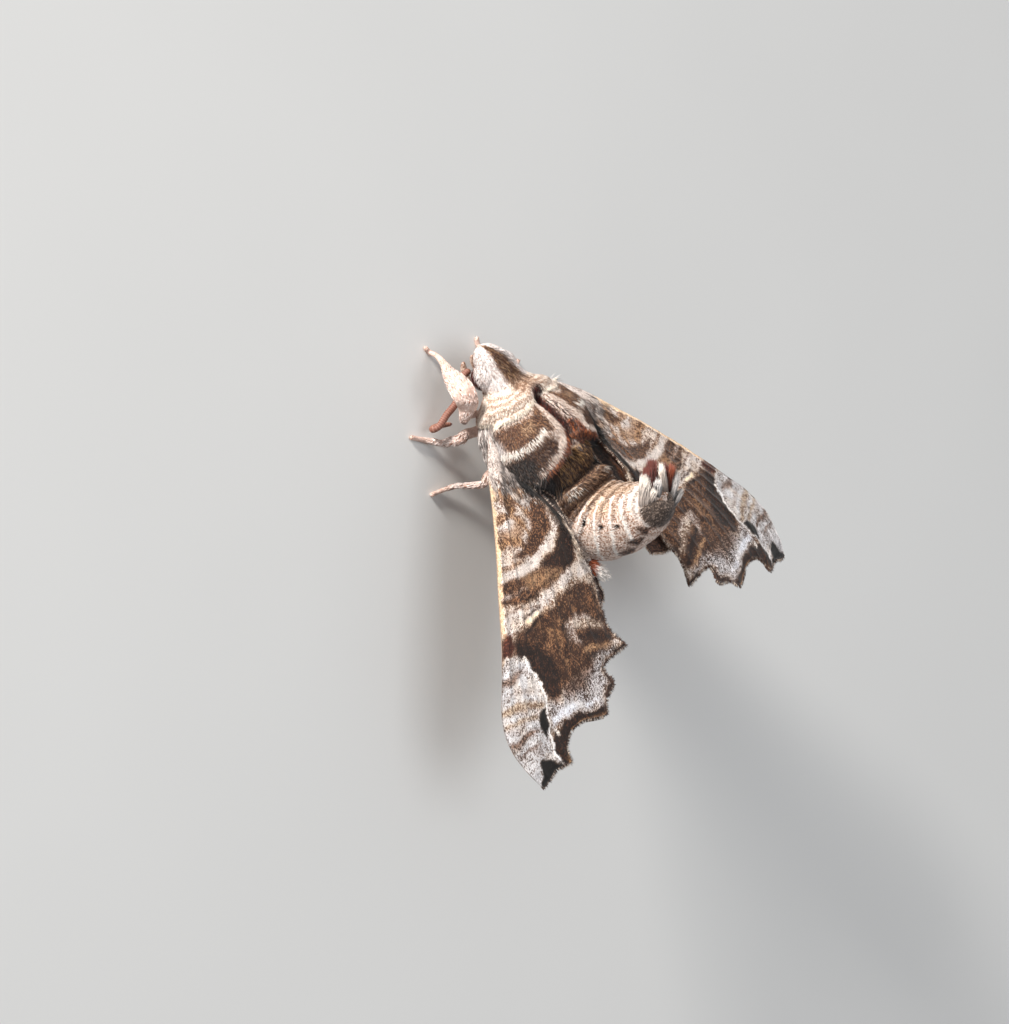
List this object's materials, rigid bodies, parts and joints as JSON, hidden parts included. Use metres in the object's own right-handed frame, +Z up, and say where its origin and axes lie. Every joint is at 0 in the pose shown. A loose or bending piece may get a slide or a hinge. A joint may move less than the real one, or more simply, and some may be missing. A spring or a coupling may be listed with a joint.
{
  "type": "lettered sphinx moth",
  "caption": "Life-size still model of a hawk moth at rest on six feet, scalloped wings half spread and abdomen curled up.",
  "frame": {"origin": "on the floor under the middle of the model's box", "axes": "+X to the moth's own left, +Y towards its tail, +Z up"},
  "size_m": [0.036, 0.0302, 0.0166],
  "materials": {
    "fur_grey": "pale grey-pink scales and fur",
    "fur_brown": "brown fur with pale rims",
    "wing_brown": "matte wing scales in brown, grey and cream",
    "hindwing_rust": "matte orange-brown scales",
    "abdomen_tan": "pinkish tan scales with pale rings",
    "leg_pink": "pale pink scales",
    "antenna_brown": "ringed brown",
    "eye_red": "dark red-brown, semi-gloss"
  },
  "bodies": {
    "root": {"abdomen_front": "abdomen_tan", "abdomen_middle": "abdomen_tan", "abdomen_tail": "abdomen_tan", "antenna_left": "antenna_brown", "antenna_right": "antenna_brown", "collar": "fur_grey", "eye_left": "eye_red", "eye_right": "eye_red", "foreleg_left": "leg_pink", "foreleg_right": "leg_pink", "forewing_left": "wing_brown", "forewing_right": "wing_brown", "head": "fur_grey", "hindleg_left": "leg_pink", "hindleg_right": "leg_pink", "hindwing_left": "hindwing_rust", "hindwing_right": "hindwing_rust", "midleg_left": "leg_pink", "midleg_right": "leg_pink", "palp_left": "fur_grey", "palp_right": "fur_grey", "tegula_left": "fur_brown", "tegula_right": "fur_brown", "thorax": "fur_brown"}
  },
  "joints": []
}
